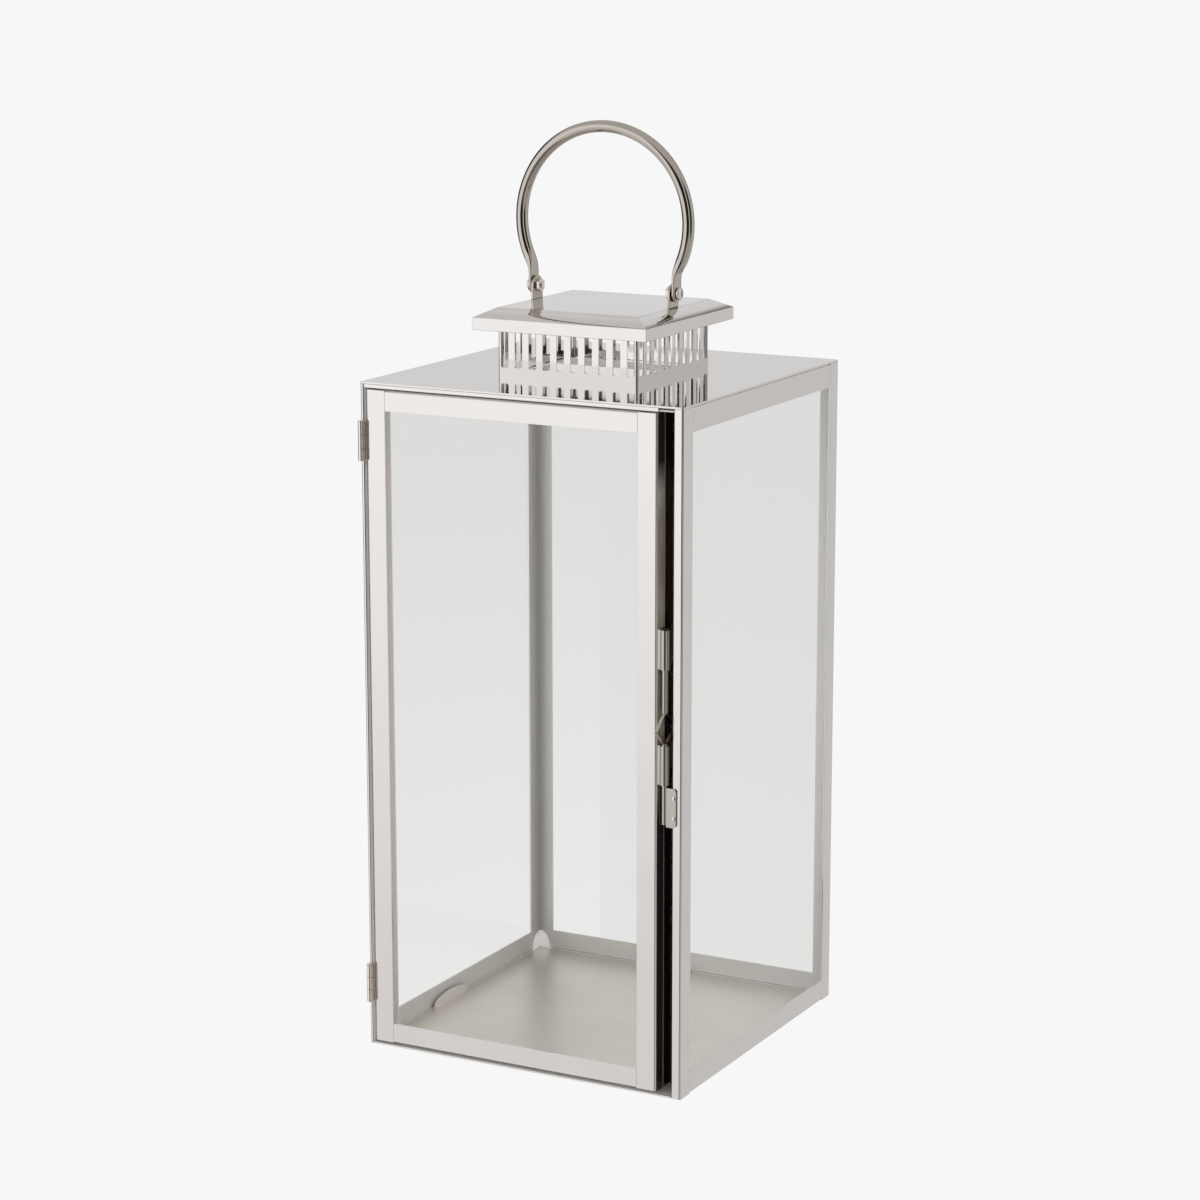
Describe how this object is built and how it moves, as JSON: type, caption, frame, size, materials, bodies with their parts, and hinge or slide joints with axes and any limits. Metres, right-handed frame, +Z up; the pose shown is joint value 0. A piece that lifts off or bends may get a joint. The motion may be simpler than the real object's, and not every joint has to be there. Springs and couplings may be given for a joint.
{
  "type": "candle lantern",
  "caption": "Square candle lantern of folded polished sheet steel with glass sides, a hinged front door with a lifting latch bolt, a slotted capped vent and a swinging ring handle.",
  "frame": {"origin": "centre of the square base, on the surface the lantern stands on", "axes": "+Z up, -Y is the side with the door, +X to the right of someone facing the door"},
  "size_m": [0.2, 0.2106, 0.5252],
  "materials": {
    "polished_steel": "polished sheet steel",
    "satin_steel": "satin, matter than the frame",
    "hardware_steel": "bright rolled hardware",
    "glass": "clear float glass",
    "white_pad": "soft white pad"
  },
  "bodies": {
    "lantern": {"floor_plate": "satin_steel", "front_sill": "polished_steel", "base_rail_left": "polished_steel", "base_rail_right": "polished_steel", "base_rail_back": "polished_steel", "post_front_left": "polished_steel", "post_front_right": "polished_steel", "post_back_left": "polished_steel", "post_back_right": "polished_steel", "front_header": "polished_steel", "top_rail_left": "polished_steel", "top_rail_right": "polished_steel", "top_rail_back": "polished_steel", "roof_plate": "polished_steel", "glass_left": "glass", "glass_right": "glass", "glass_back": "glass", "corner_pad": "white_pad", "floor_rivet": "satin_steel", "vent_grille": "polished_steel", "vent_cap": "polished_steel", "handle_ear_left": "polished_steel", "handle_ear_right": "polished_steel", "pivot_screw_left": "polished_steel", "pivot_screw_right": "polished_steel", "pivot_nuts": "hardware_steel", "hinge_post_leaf_top": "hardware_steel", "hinge_post_leaf_low": "hardware_steel", "hinge_pin_top": "hardware_steel", "hinge_pin_low": "hardware_steel", "latch_keeper": "polished_steel", "keeper_rivets": "polished_steel"},
    "door": {"door_stile_hinge": "polished_steel", "door_stile_latch": "polished_steel", "door_rail_top": "polished_steel", "door_rail_bottom": "polished_steel", "door_glass": "glass", "hinge_door_leaf_top": "hardware_steel", "hinge_door_leaf_low": "hardware_steel", "latch_barrel_top": "polished_steel", "latch_barrel_low": "polished_steel"},
    "bolt": {"latch_bolt": "polished_steel"},
    "handle": {"handle": "polished_steel"}
  },
  "joints": [
    {"name": "door_hinge", "type": "hinge", "parent": "lantern", "child": "door", "pos_m": [-0.0981, -0.10225, 0.2], "axis": [0, 0, -1], "range_deg": [0, 178]},
    {"name": "bolt_lift", "type": "slide", "parent": "door", "child": "bolt", "axis": [0, 0, 1], "range_m": [0, 0.0228]},
    {"name": "handle_swing", "type": "hinge", "parent": "lantern", "child": "handle", "pos_m": [0, 0, 0.431], "axis": [1, 0, 0], "range_deg": [-95, 95]}
  ]
}
